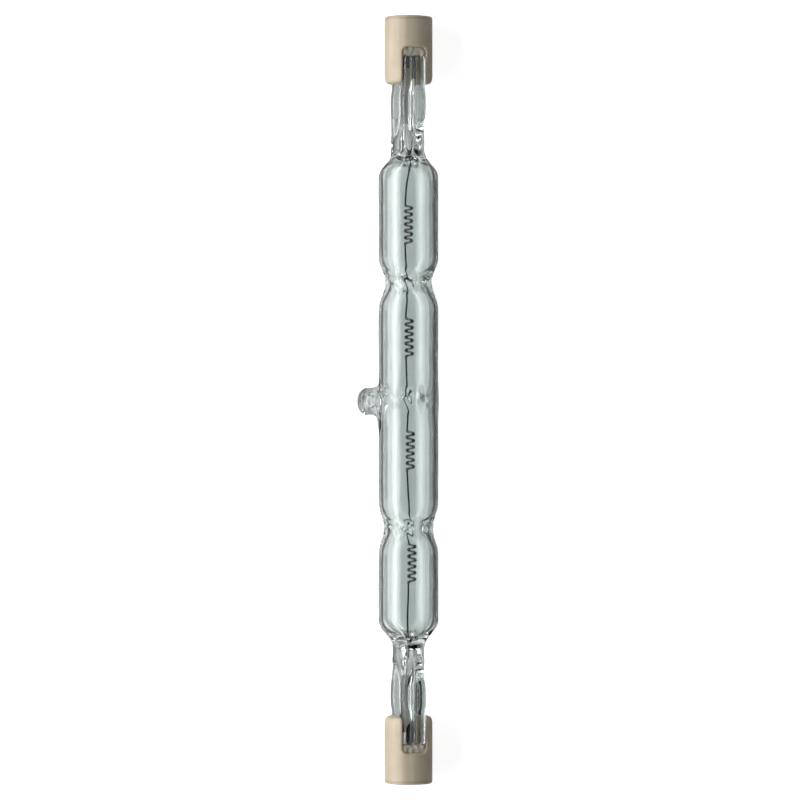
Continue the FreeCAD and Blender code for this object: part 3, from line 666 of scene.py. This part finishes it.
def coil_path(number):
    """The wire of one coil: a fine helix wound along a wide one."""
    start = COIL_FIRST + COIL_SPACING * number - COIL_LENGTH / 2
    length = COIL_TURNS * math.hypot(2 * math.pi * COIL_R, COIL_LENGTH / COIL_TURNS)
    share = np.linspace(0, 1, int(length / FINE_PITCH * FINE_STEPS))
    wide, fine = 2 * math.pi * COIL_TURNS * share, 2 * math.pi * length / FINE_PITCH * share
    outward = np.stack((0 * wide, -np.cos(wide), np.sin(wide)), 1)
    along = np.array((1.0, 0.0, 0.0))
    offset = np.cos(fine)[:, None] * outward + np.sin(fine)[:, None] * along
    centre = np.stack((start + COIL_LENGTH * share, coil_side(number) + 0 * share, 0 * share), 1)
    return centre + COIL_R * outward + FINE_COIL_R * offset


def make_filament(material):
    parts = [tube_along(path, LEG_WIRE_R, LEG_SIDES) for path in leg_paths()]
    parts += [tube_along(coil_path(number), COIL_WIRE_R, COIL_SIDES) for number in range(COILS)]
    counts = np.cumsum([0] + [len(points) for points, _, _ in parts])
    points = np.concatenate([points for points, _, _ in parts])
    faces = [[number + count for number in face]
             for (_, part_faces, _), count in zip(parts, counts) for face in part_faces]
    normals = np.concatenate([normals for _, _, normals in parts])
    finish_piece(add_mesh("filament_wire", points, faces, normals), "filament", material)


def make_lead(side, kind, material):
    """A round wire with round ends, where the CAD's lead lies."""
    node = f"{side}_{kind}_lead"
    inside = (node_points(node) - AXIS) @ TO_ROW.T / MM
    low, high = inside.min(0), inside.max(0)
    share = np.sin(np.linspace(-math.pi / 2, math.pi / 2, LEAD_RINGS))
    middle = (low + high) / 2
    path = np.repeat(middle[None], LEAD_RINGS, 0)
    path[:, 0] += (high[0] - low[0]) / 2 * share
    from_end = np.minimum(path[:, 0] - low[0], high[0] - path[:, 0])
    radius = LEAD_R[kind] * np.sqrt(np.clip(from_end / LEAD_TAPER, 1e-4, 1))
    wire = add_mesh(f"{node}_wire", *tube_along(path, radius, LEAD_SIDES))
    finish_piece(wire, node, material)


# Materials.

def set_ramp(ramp, stops):
    elements = ramp.color_ramp.elements
    while len(elements) < len(stops):
        elements.new(0.5)
    for element, (place, colour) in zip(elements, stops):
        element.position = place
        element.color = (*colour, 1)


class Shader:
    """A material with a Principled shader, and short ways to add nodes to it."""

    def __init__(self, name, **sockets):
        self.material = bpy.data.materials.new(name)
        self.material.use_nodes = True
        self.tree = self.material.node_tree
        self.principled = self.tree.nodes["Principled BSDF"]
        for socket, value in sockets.items():
            self.principled.inputs[socket.replace("_", " ")].default_value = value

    def node(self, kind, **sockets):
        node = self.tree.nodes.new("ShaderNode" + kind)
        for socket, value in sockets.items():
            target = node.inputs[socket.replace("_", " ")]
            if isinstance(value, bpy.types.NodeSocket):
                self.tree.links.new(value, target)
            else:
                target.default_value = value
        return node

    def link(self, output, socket):
        self.tree.links.new(output, self.principled.inputs[socket.replace("_", " ")])

    def noise(self, scale, detail=4.0, stretch=(1, 1, 1)):
        """Noise in the row's millimetres, stretched along the axes."""
        place = self.node("TexCoord").outputs["Object"]
        mapping = self.node("Mapping", Vector=place)
        mapping.inputs["Scale"].default_value = tuple(s / MM for s in stretch)
        place = mapping.outputs["Vector"]
        return self.node("TexNoise", Vector=place, Scale=scale, Detail=detail).outputs["Fac"]

    def attribute(self, name):
        node = self.node("Attribute")
        node.attribute_name = name
        return node.outputs["Fac"]

    def ramp(self, factor, *stops):
        """A colour ramp from (place, colour) pairs."""
        ramp = self.node("ValToRGB", Fac=factor)
        set_ramp(ramp, stops)
        return ramp.outputs["Color"]

    def spread(self, factor, low, high):
        """A factor from 0 to 1 as a value from low to high."""
        span = self.node("MapRange", Value=factor)
        span.inputs["To Min"].default_value = low
        span.inputs["To Max"].default_value = high
        return span.outputs["Result"]

    def mixed(self, kind, first, second, share=1.0):
        mix = self.node("Mix")
        mix.data_type = "RGBA"
        mix.blend_type = kind
        mix.inputs["Factor"].default_value = share
        self.tree.links.new(first, mix.inputs[6])
        self.tree.links.new(second, mix.inputs[7])
        return mix.outputs[2]

    def maths(self, operation, *values):
        node = self.node("Math")
        node.operation = operation
        for socket, value in zip(node.inputs, values):
            if isinstance(value, bpy.types.NodeSocket):
                self.tree.links.new(value, socket)
            else:
                socket.default_value = value
        return node.outputs["Value"]

    def bump(self, height, strength, distance=0.02):
        bump = self.node("Bump", Height=height, Strength=strength)
        bump.inputs["Distance"].default_value = distance * MM
        self.link(bump.outputs["Normal"], "Normal")


def quartz():
    shader = Shader("quartz", IOR=1.46, Roughness=0.0)
    shader.principled.inputs["Transmission Weight"].default_value = 1.0
    streaks = shader.noise(0.5, 3.0, (0.25, 1, 1))
    shader.link(shader.ramp(streaks, (0.3, (0.74, 0.79, 0.78)), (0.7, (0.80, 0.85, 0.84))), "Base Color")
    shader.bump(shader.noise(0.9, 2.0, (0.15, 1, 1)), 0.25, 0.03)
    return shader.material


def steatite():
    shader = Shader("steatite", Roughness=0.62)
    cloud = shader.noise(0.35, 5.0)
    body = shader.ramp(cloud, (0.3, (0.55, 0.46, 0.335)), (0.7, (0.63, 0.535, 0.40)))
    along = shader.node("SeparateXYZ", Vector=shader.node("TexCoord").outputs["Object"]).outputs["X"]
    along = shader.maths("ABSOLUTE", along)
    from_start = shader.maths("SUBTRACT", along, CAP_START * MM)
    share = shader.maths("DIVIDE", from_start, (CAP_END - CAP_START) * MM)
    # Painted light along the cap: lighter towards the inner end, then a painted shade line and a painted
    # highlight at the edge of the outer end.
    painted_end_light = shader.ramp(share, (0.0, (1.10, 1.14, 1.17)), (0.3, (1.0, 1.0, 1.0)), (0.93, (1.0, 1.0, 1.0)),
                       (0.965, (0.75, 0.74, 0.72)), (0.985, (1.15, 1.15, 1.15)))
    lines = shader.noise(0.9, 3.0, (0.06, 1, 1))
    streaks = shader.ramp(lines, (0.35, (0.90, 0.88, 0.85)), (0.65, (1.03, 1.03, 1.03)))
    body_with_end_light = shader.mixed("MULTIPLY", body, painted_end_light)
    shader.link(shader.mixed("MULTIPLY", body_with_end_light, streaks), "Base Color")
    shader.link(shader.spread(shader.noise(3.0, 4.0), 0.5, 0.72), "Roughness")
    shader.bump(shader.noise(5.0, 5.0), 0.35, 0.03)
    return shader.material


def cement():
    shader = Shader("cement", Roughness=0.85)
    grain = shader.noise(2.2, 6.0)
    shader.link(shader.ramp(grain, (0.3, (0.46, 0.415, 0.35)), (0.7, (0.69, 0.62, 0.53))), "Base Color")
    shader.bump(grain, 0.7, 0.08)
    return shader.material


def metal(name, dark, light, rough, stretch):
    shader = Shader(name, Metallic=1.0)
    grain = shader.noise(6.0, 4.0, stretch)
    shader.link(shader.ramp(grain, (0.3, dark), (0.7, light)), "Base Color")
    shader.link(shader.spread(grain, rough - 0.08, rough + 0.08), "Roughness")
    shader.bump(grain, 0.3, 0.01)
    return shader.material


def floor_material():
    """A pale floor that keeps the lamp's shadow. It is lifted to white where it is seen straight on, and less
    in glass and metal."""
    shader = Shader("pale_floor", Roughness=0.9)
    paper = shader.noise(0.02, 3.0)
    shader.link(shader.ramp(paper, (0.3, (0.58, 0.58, 0.58)), (0.7, (0.60, 0.60, 0.60))), "Base Color")
    path = shader.node("LightPath").outputs
    through = shader.maths("MAXIMUM", path["Is Glossy Ray"], path["Is Transmission Ray"])
    straight = shader.maths("MULTIPLY", path["Is Camera Ray"], FLOOR_LIFT)
    strength = shader.maths("ADD", straight, shader.maths("MULTIPLY", through, FLOOR_LIFT_IN_GLASS))
    shader.principled.inputs["Emission Color"].default_value = (1, 1, 1, 1)
    shader.link(strength, "Emission Strength")
    return shader.material


def rectangle(half_x, half_y):
    return [(-half_x, -half_y, 0), (half_x, -half_y, 0), (half_x, half_y, 0), (-half_x, half_y, 0)]


def add_floor():
    mesh = bpy.data.meshes.new("floor")
    mesh.from_pydata(rectangle(FLOOR_HALF, FLOOR_HALF), [], [(0, 1, 2, 3)])
    floor = bpy.data.objects.new("floor", mesh)
    floor.location.z = -FLOOR_DROP * MM
    bpy.context.scene.collection.objects.link(floor)
    mesh.materials.append(floor_material())


def add_card(name, points, across, material):
    """A flat card that lights nothing and that only glass and metal see."""
    mesh = bpy.data.meshes.new(name)
    mesh.from_pydata(points, [], [(0, 1, 2, 3)])
    mesh.attributes.new("across", "FLOAT", "POINT").data.foreach_set("value", across)
    mesh.materials.append(material)
    card = bpy.data.objects.new(name, mesh)
    card.visible_camera = False
    card.visible_diffuse = False
    card.visible_shadow = False
    bpy.context.scene.collection.objects.link(card)
    return card


def add_flag(name, start, end, stripes, height=CARD_HEIGHT, lean=0.0):
    """A striped card on the floor, from one place along the lamp to another. It leans towards the lamp or
    away from it by so much at its far end."""
    low, high = stripes[0][0], stripes[-1][0]
    shader = Shader(name, Roughness=0.9)
    stops = [((place - low) / (high - low), (grey, grey, grey)) for place, grey in stripes]
    shader.link(shader.ramp(shader.attribute("across"), *stops), "Base Color")
    corners = ((start, low), (start, high), (end, high + lean), (end, low + lean))
    points = [(x * MM, AXIS[1] + y * MM, height * MM) for x, y in corners]
    add_card(name, points, (0, 1, 1, 0), shader.material)


def add_flags():
    add_flag("flag_tube_left_1", -TUBE_CARD_END, TIP_CARD[0], TUBE_STRIPES_LEFT)
    add_flag("flag_tip", *TIP_CARD, TIP_STRIPES)
    add_flag("flag_tube_left_2", TIP_CARD[1], TUBE_CARD_END, TUBE_STRIPES_LEFT)
    add_flag("flag_tube_right", -TUBE_CARD_END, TUBE_CARD_END, TUBE_STRIPES_RIGHT)
    for number, (place, _) in enumerate(NECKS):
        reach = place - NECK_CARD_HALF, place + NECK_CARD_HALF
        add_flag(f"flag_neck_{number}_left", *reach, NECK_STRIPES_LEFT, UPPER_CARD_HEIGHT)
        add_flag(f"flag_neck_{number}_right", *reach, NECK_STRIPES_RIGHT, UPPER_CARD_HEIGHT)
    for side, end in ENDS.items():
        for way, stripes in ((-1, SHOULDER_STRIPES_LEFT), (1, SHOULDER_STRIPES_RIGHT)):
            name = f"flag_{side}_shoulder_{'left' if way < 0 else 'right'}"
            lean = -way * SHOULDER_LEAN
            add_flag(name, end * TUBE_CARD_END, end * SHOULDER_CARD_END, stripes, lean=lean)
        cards = ROOT_CARD, SEAL_CARD, SLOT_SHADOW_CARD
        root, seal_reach, slot = ([end * place for place in card] for card in cards)
        add_flag(f"flag_{side}_root", *root, ROOT_STRIPES, UPPER_CARD_HEIGHT)
        add_flag(f"flag_{side}_seal", *seal_reach, SEAL_STRIPES[side])
        # The slot cards are dark: a painted shadow of the caps on the floor.
        for number, stripes in enumerate(SLOT_SHADOW_STRIPES[side]):
            add_flag(f"flag_{side}_slot_{number}", *slot, stripes, UPPER_CARD_HEIGHT)


# Camera and light.

def add_camera():
    """Looks straight down, with the lamp's left end at the top of the picture."""
    camera = bpy.data.cameras.new("camera")
    camera.sensor_width = SENSOR
    camera.lens = SENSOR * CAMERA_DISTANCE / PICTURE_WIDTH
    camera.clip_start = 0.01
    holder = bpy.data.objects.new("camera", camera)
    holder.location = (0, AXIS[1] - AXIS_FROM_MIDDLE * MM, AXIS[2] + CAMERA_DISTANCE * MM)
    holder.rotation_euler = (0, 0, math.radians(90))
    bpy.context.scene.collection.objects.link(holder)
    bpy.context.scene.camera = holder


def facing(place):
    """The turn of a lamp or card at a place, towards the middle of the part."""
    ahead = Vector((0, AXIS[1], AXIS[2])) - Vector(place)
    return ahead.to_track_quat("-Z", "Y").to_euler()


def add_softbox(name, place, size, watts):
    """A soft lamp for dull surfaces, not seen itself."""
    light = bpy.data.lights.new(name, "AREA")
    light.shape = "RECTANGLE"
    light.size, light.size_y = size
    light.energy = watts
    holder = bpy.data.objects.new(name, light)
    holder.location = place
    holder.rotation_euler = facing(place)
    holder.visible_camera = False
    holder.visible_glossy = False
    bpy.context.scene.collection.objects.link(holder)


def add_gleam(name, place, size, strength, shades):
    """A bright card that only shows in glass and metal, graded from its lower edge to its upper one."""
    points = rectangle(size[0] / 2, size[1] / 2)
    shader = Shader(name, Roughness=1.0)
    shader.principled.inputs["Base Color"].default_value = (0, 0, 0, 1)
    stops = [(part, (shade, shade, shade)) for part, shade in shades]
    shader.link(shader.ramp(shader.attribute("across"), *stops), "Emission Color")
    shader.principled.inputs["Emission Strength"].default_value = strength
    card = add_card(name, points, (0, 0, 1, 1), shader.material)
    card.location = place
    card.rotation_euler = facing(place)


def add_world():
    """Dim light from all round, brighter from the left of the picture."""
    world = bpy.data.worlds.new("studio")
    world.use_nodes = True
    tree = world.node_tree
    background = tree.nodes["Background"]
    way = tree.nodes.new("ShaderNodeTexCoord")
    split = tree.nodes.new("ShaderNodeSeparateXYZ")
    ramp = tree.nodes.new("ShaderNodeValToRGB")
    span = tree.nodes.new("ShaderNodeMapRange")
    span.inputs["From Min"].default_value = -1
    tree.links.new(way.outputs["Generated"], split.inputs["Vector"])
    tree.links.new(split.outputs["Y"], span.inputs["Value"])
    tree.links.new(span.outputs["Result"], ramp.inputs["Fac"])
    tree.links.new(ramp.outputs["Color"], background.inputs["Color"])
    set_ramp(ramp, ((0.1, WORLD_LEFT), (0.9, WORLD_RIGHT)))
    background.inputs["Strength"].default_value = WORLD_STRENGTH
    bpy.context.scene.world = world


def dress(node, material):
    """Gives a CAD node its looks."""
    mesh = nodes[node].data
    mesh.materials.clear()
    mesh.materials.append(material)


def build():
    make_envelope(quartz())
    make_filament(metal("tungsten", (0.02, 0.02, 0.021), (0.05, 0.05, 0.052), 0.5, (1, 1, 1)))
    ceramic, filling = steatite(), cement()
    molybdenum = metal("molybdenum", (0.36, 0.355, 0.345), (0.54, 0.53, 0.51), 0.3, (0.15, 2, 2))
    drawn_wire = metal("drawn_wire", (0.03, 0.03, 0.03), (0.07, 0.069, 0.067), 0.4, (0.15, 2, 2))
    nickel = metal("nickel", (0.58, 0.55, 0.50), (0.70, 0.67, 0.61), 0.3, (1, 1, 1))
    for side in ENDS:
        make_cap(side, ceramic)
        make_cement(side, filling)
        for kind in LEAD_R:
            make_lead(side, kind, drawn_wire)
        dress(f"{side}_foil", molybdenum)
        dress(f"{side}_contact", nickel)
    add_floor()
    add_flags()
    add_camera()
    add_world()
    for name, values in SOFTBOXES.items():
        add_softbox(name, *values)
    for name, values in GLEAMS.items():
        add_gleam(name, *values)


build()
scene = bpy.context.scene
scene.view_settings.view_transform = "Standard"
